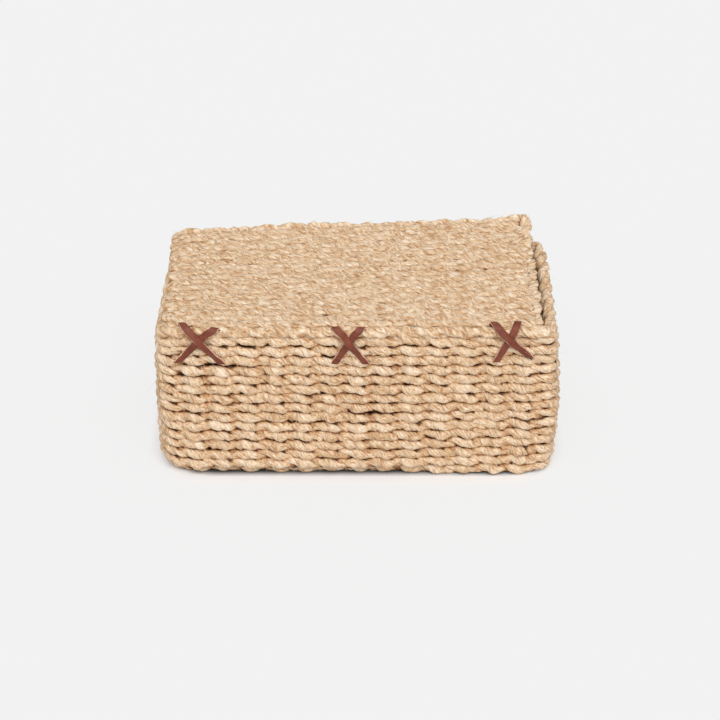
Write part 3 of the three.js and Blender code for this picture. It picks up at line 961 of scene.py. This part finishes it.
def lace_loop(upper_left, upper_right, lower_left, lower_right):
    def inside(high_end, low_end, hole_shift):
        x_low = low_end[0] * MM + hole_shift
        hole = LACE_HOLE + low_end[1] * MM
        return [
            (high_end[0] * MM, LACE_INSIDE, LID_BOTTOM - 3 * MM),
            (x_low, LACE_INSIDE, hole + 6 * MM),
            (x_low, LACE_INSIDE - 0.2 * MM, hole + 1 * MM),
        ]

    under = lace_strand(lower_left, upper_right, LEFT_HOLE_SHIFT, 0.0)
    over = lace_strand(lower_right, upper_left, RIGHT_HOLE_SHIFT, LACE_CROSS_BUMP)
    back_right = inside(upper_right, lower_right, RIGHT_HOLE_SHIFT)
    back_left = inside(upper_left, lower_left, LEFT_HOLE_SHIFT)
    return under + back_right + over + back_left + under[:1]


# Half of a cut strip's section, from the middle of the outer face round the edge to the inner face
HALF_SECTION = [(0.0, 0.5), (0.30, 0.5), (0.44, 0.44), (0.495, 0.30), (0.5, 0.0)]
HALF_SECTION += [(0.495, -0.38), (0.45, -0.5), (0.2, -0.5)]
SECTION = HALF_SECTION + [(-u, v) for u, v in reversed(HALF_SECTION[1:])]
# Faces of the section further out than this are cut edges
CUT_EDGE = 0.48


def strip(centre, side, face, width, closed):
    """Points and faces of a flat strip of leather along a line, and which of the faces are cut edges."""
    count = len(SECTION)
    width = np.reshape(width, (-1, 1))
    rows = [centre + side * (u * width) + face * (v * LACE_THICKNESS) for u, v in SECTION]
    points = np.stack(rows, axis=1).reshape(-1, 3)
    spans = len(centre) if closed else len(centre) - 1
    quads, _ = tube_faces(spans + 1, count, True)
    faces = (quads % len(points)).tolist()
    edge = [min(abs(SECTION[k][0]), abs(SECTION[(k + 1) % count][0])) > CUT_EDGE for k in range(count)]
    cut = edge * spans
    if not closed:
        faces += [list(range(count))[::-1], list(range(len(points) - count, len(points)))]
        cut += [True, True]
    return points, faces, cut


# The tie's band and the two tails under it
TIE_HEIGHT = (LACE_HOLE + rim_high.z) / 2
TIE_WIDE = LACE_WIDTH / 2 + 1.1 * MM
TIE_DEEP = 1.9 * MM
TIE_SQUARENESS = 0.6
TAIL_WIDTH = 3.6 * MM
# Corner points of a tail from the tie's middle, in millimetres: aside, off the wall and up
TAIL = [(0.4, 0.7, 1.0), (1.4, 1.1, -3.0), (3.0, 1.5, -6.6), (5.0, 0.4, -11.0)]


def tie_strips(x, y):
    """The tie inside: a band round the lace's run down the wall, and two short ends that hang out of it."""
    turn = np.linspace(0, 2 * np.pi, 40, endpoint=False)
    circle = np.stack([np.cos(turn), np.sin(turn), np.zeros(len(turn))], axis=1)
    oval = np.sign(circle) * np.abs(circle) ** TIE_SQUARENESS
    band = np.array([x, y, TIE_HEIGHT]) + np.array([TIE_WIDE, TIE_DEEP, 0.0]) * oval
    travel = unit(np.roll(band, -1, axis=0) - np.roll(band, 1, axis=0))
    face = np.cross(travel, UP)
    result = [strip(band, np.cross(travel, face), face, LACE_WIDTH, True)]
    for way in (-1, 1):
        route = [(x + way * aside * MM, y + off * MM, TIE_HEIGHT + up * MM) for aside, off, up in TAIL]
        tail = rounded_path(route, 0.8 * MM)
        travel = tangents(tail, closed=False)
        side = unit(np.cross(travel, (0.0, 1.0, 0.0)))
        result.append(strip(tail, side, np.cross(side, travel), TAIL_WIDTH, False))
    return result


LACE_STEP = 0.7 * MM
ROLL_CHANGE = (0.05, (20 * MM, 45 * MM))
WIDTH_CHANGE = (0.04, (15 * MM, 37 * MM))
TINY = 1e-9


def lace_object(name, ends):
    centre = rounded_path(lace_loop(*ends), LACE_STEP)
    centre[-1] = centre[0]
    travel = tangents(centre, closed=True)
    face = np.stack([np.zeros(len(travel)), -travel[:, 2], travel[:, 1]], axis=1)
    face = unit(face + TINY)
    side = np.cross(travel, face)
    along = lengths_along(centre)
    in_front = centre[:, 1] < -HALF_DEPTH
    share = np.clip((centre[:, 2] - LACE_HOLE) / (LID_TOP - LACE_HOLE), 0, 1)
    lean = -np.sign(travel[:, 0]) * LACE_ROLL * np.sin(2 * np.pi * share) ** 3
    roll = np.where(in_front, lean, 0.0) + wander(along, *ROLL_CHANGE)
    roll = np.convolve(np.pad(roll, 4, mode="wrap"), np.ones(9) / 9, mode="valid")
    turned_side = side * np.cos(roll)[:, None] + face * np.sin(roll)[:, None]
    turned_face = face * np.cos(roll)[:, None] - side * np.sin(roll)[:, None]
    width = LACE_WIDTH * (1 + wander(along, *WIDTH_CHANGE))
    loop = strip(centre[:-1], turned_side[:-1], turned_face[:-1], width[:-1], True)
    lower_left = ends[2]
    ties = tie_strips(lower_left[0] * MM + LEFT_HOLE_SHIFT, LACE_INSIDE)
    points, faces, cut = [], [], []
    for strip_points, strip_faces, strip_cut in [loop] + ties:
        base = sum(len(part) for part in points)
        points.append(strip_points)
        faces += [[base + corner for corner in corners] for corners in strip_faces]
        cut += strip_cut
    piece = face_object(name, np.concatenate(points).tolist(), faces, lace_leather, lace_edge)
    piece.data.polygons.foreach_set("material_index", np.array(cut, dtype=np.int32))
    return piece


for node, ends in LACES.items():
    piece = lace_object(node.replace("lace", "leather_lace"), ends)
    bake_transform(piece)
    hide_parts(node)

# Stray fibres

# How far along the cord a fibre runs and how far it bends aside, as shares of its length
HAIR_RUN = 0.85
HAIR_BEND = 0.6
BEND_CHANGE = 0.35
HAIR_ROOT = 0.3 * MM
HAIR_TAPER = 0.75
HAIR_SIDES = 3
HAIR_HINT = np.array([0.31, 0.52, 0.79])


def stray_fibres(tubes, facing, count, longest, lifts, curl):
    """Thin loose fibres that start on the cords and bend away from them, by a share of their length."""
    lengths = np.array([tube.along[-1] for tube in tubes])
    picked = rng.choice(len(tubes), size=count * 4, p=lengths / lengths.sum())
    hairs = []
    for index in picked:
        tube = tubes[index]
        station = rng.integers(2, len(tube.along) - 2)
        corner = rng.integers(0, tube.tone.shape[1])
        root = tube.rings[station, corner]
        normal = root - tube.centre[station]
        normal = normal / np.linalg.norm(normal)
        if facing(root, normal):
            hairs.append((root, normal, tube.travel[station] * rng.choice([-1, 1])))
        if len(hairs) == count:
            break
    result = []
    for root, normal, travel in hairs:
        length = longest * rng.uniform(0.25, 1) ** 1.6
        stations = np.linspace(0, 1, 8)[:, None]
        bend = rng.normal(0, BEND_CHANGE, 3)
        bend -= normal * np.dot(bend, normal) * (1 - curl)
        lift = rng.uniform(*lifts)
        sideways = bend * stations**2 * HAIR_BEND
        path = root + length * (travel * stations * HAIR_RUN + normal * lift * stations + sideways)
        path -= normal * HAIR_ROOT * (1 - stations)
        path[:, 2] = np.maximum(path[:, 2], 2 * FLOOR_CLEARANCE)
        result.append(path)
    return result


def hair_object(name, paths, material, thickness):
    points, faces, base = [], [], 0
    for path in paths:
        travel = tangents(path, closed=False)
        across = unit(np.cross(travel, HAIR_HINT))
        other = np.cross(travel, across)
        radius = thickness * (1 - HAIR_TAPER * np.linspace(0, 1, len(path)))[:, None]
        turns = [2 * math.pi * k / HAIR_SIDES for k in range(HAIR_SIDES)]
        rows = [path + radius * (across * math.cos(turn) + other * math.sin(turn)) for turn in turns]
        points.append(np.stack(rows, axis=1).reshape(-1, 3))
        quads, _ = tube_faces(len(path), HAIR_SIDES, True)
        faces += (quads + base).tolist()
        faces.append([base + k for k in reversed(range(HAIR_SIDES))])
        base += HAIR_SIDES * len(path)
        faces.append([base - HAIR_SIDES + k for k in range(HAIR_SIDES)])
    return face_object(name, np.concatenate(points).tolist(), faces, material)


def hair_material():
    material, nodes, shader = new_material("stray_fibre")
    patch = nodes.noise(nodes.place(), (90, 90, 90), 2)
    colours = ((0.60, 0.42, 0.26), (0.80, 0.66, 0.48), (0.90, 0.80, 0.66))
    nodes.fill(shader, Base_Color=nodes.ramp(patch, (0.35, 0.5, 0.65), colours), Roughness=0.55)
    return material


def faces_out(root, normal):
    outward = max(abs(root[0]) / HALF_WIDTH, abs(root[1]) / HALF_DEPTH) > 0.97
    return outward and normal[0] * root[0] / HALF_WIDTH + normal[1] * root[1] / HALF_DEPTH > 0.3


def faces_up(root, normal):
    return normal[2] > 0.4


stray = hair_material()
wall_tubes = sum(courses, []) + rim_tubes
top_tubes = lid_tubes + back_tubes + front_tubes
LOOSE = (0.08, 0.5)
FLAT = (0.0, 0.1)
# Name, body, material slot, cords, the side that they grow on, count, longest, lift, curl and thickness
FIBRES = [
    ("box_stray_fibres", "box", "wall_fibre", wall_tubes, faces_out, 300, 13 * MM, LOOSE, 1.0, 0.07 * MM),
    ("lid_stray_fibres", "lid", "lid_fibre", top_tubes, faces_up, 260, 12 * MM, LOOSE, 1.0, 0.07 * MM),
    ("box_flat_fibres", "box", "wall_fibre", wall_tubes, faces_out, 1500, 9 * MM, FLAT, 0.2, 0.13 * MM),
    ("lid_flat_fibres", "lid", "lid_fibre", top_tubes, faces_up, 2600, 8 * MM, FLAT, 0.2, 0.16 * MM),
]
for name, body, slot, tubes, facing, count, longest, lifts, curl, thickness in FIBRES:
    hairs = stray_fibres(tubes, facing, count, longest, lifts, curl)
    piece = hair_object(name, hairs, stray, thickness)
    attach(piece, body)

# Floor, light and camera

FLOOR_COLOUR = 0.88
# How far out from this inset the floor comes out of the shadow painted under the box, and then turns even
FLOOR_INSET = 32 * MM
FLOOR_SIDE_INSET = 37 * MM
SHADE_START = 26 * MM
SHADE_END = 32.5 * MM
SHADE_COLOUR = 0.12
FLOOR_NEAR = 32 * MM
FLOOR_FAR = 47 * MM
FLOOR_EVEN = 0.9


def floor_material():
    """Pale paper, with a shadow painted into its colour under the box. As it is seen, it is an even tone
    away from the box and keeps the shadow beside it.
    """
    material, nodes, shader = new_material("floor_paper")
    place = nodes.add("ShaderNodeNewGeometry").outputs["Position"]
    away = nodes.vector("ABSOLUTE", place)["Vector"]
    inner = (HALF_WIDTH - FLOOR_SIDE_INSET, HALF_DEPTH - FLOOR_INSET, 0)
    beyond = nodes.vector("MAXIMUM", nodes.vector("SUBTRACT", away, inner)["Vector"])["Vector"]
    distance = nodes.vector("LENGTH", beyond)["Value"]
    # A shadow painted into the floor's colour under the box, from dark to the paper's tone
    tones = ((SHADE_COLOUR,) * 3, (FLOOR_COLOUR,) * 3)
    shade = nodes.ramp(nodes.ranged(distance, SHADE_START, SHADE_END), (0, 1), tones)
    nodes.fill(shader, Base_Color=shade, Roughness=0.9, Specular_IOR_Level=0.0)
    share = nodes.ranged(distance, FLOOR_NEAR, FLOOR_FAR, FLOOR_EVEN)
    rays = nodes.add("ShaderNodeLightPath").outputs
    seen = nodes.maths("MAXIMUM", rays["Is Camera Ray"], rays["Is Glossy Ray"])
    seen = nodes.maths("MAXIMUM", seen, rays["Is Transmission Ray"])
    even = nodes.add("ShaderNodeEmission", Color=(*tones[1], 1), Strength=1.0)
    mix = nodes.add("ShaderNodeMixShader", Fac=nodes.maths("MULTIPLY", share, seen))
    nodes.put(mix.inputs[1], shader.outputs["BSDF"])
    nodes.put(mix.inputs[2], even.outputs["Emission"])
    nodes.put(material.node_tree.nodes["Material Output"].inputs["Surface"], mix.outputs["Shader"])
    return material


FLOOR_REACH = 6.0
SKY_STRENGTH = 0.62
SUN_STRENGTH = 1.96
SUN_ANGLE = math.radians(50)
TOWARDS_SUN = Vector((0.06, -0.64, 0.76))


def aim(thing, direction):
    """Turns a lamp or a camera so that it faces away from the given direction."""
    thing.rotation_euler = direction.to_track_quat("Z", "Y").to_euler()
    bpy.context.scene.collection.objects.link(thing)


def studio():
    corners = [(x * FLOOR_REACH, y * FLOOR_REACH, 0) for x, y in ((-1, -1), (1, -1), (1, 1), (-1, 1))]
    floor = face_object("floor", corners, [(0, 1, 2, 3)], floor_material())
    world = bpy.data.worlds.new("studio")
    world.use_nodes = True
    background = world.node_tree.nodes["Background"]
    background.inputs["Color"].default_value = (1, 1, 1, 1)
    background.inputs["Strength"].default_value = SKY_STRENGTH
    bpy.context.scene.world = world
    lamp = bpy.data.lights.new("soft_key", "SUN")
    lamp.energy = SUN_STRENGTH
    lamp.angle = SUN_ANGLE
    aim(bpy.data.objects.new("soft_key", lamp), TOWARDS_SUN)


SENSOR_WIDTH = 36
LENS = 108.3
CAMERA_TARGET = Vector((0.0023, 0, 0.0443))
CAMERA_ELEVATION = math.radians(28.3)
CAMERA_DISTANCE = 1.436


def camera():
    data = bpy.data.cameras.new("camera")
    data.sensor_width = SENSOR_WIDTH
    data.lens = LENS
    cam = bpy.data.objects.new("camera", data)
    away = Vector((0, -math.cos(CAMERA_ELEVATION), math.sin(CAMERA_ELEVATION)))
    cam.location = CAMERA_TARGET + away * CAMERA_DISTANCE
    aim(cam, away)
    bpy.context.scene.camera = cam


studio()
camera()
bpy.context.scene.view_settings.view_transform = "Standard"
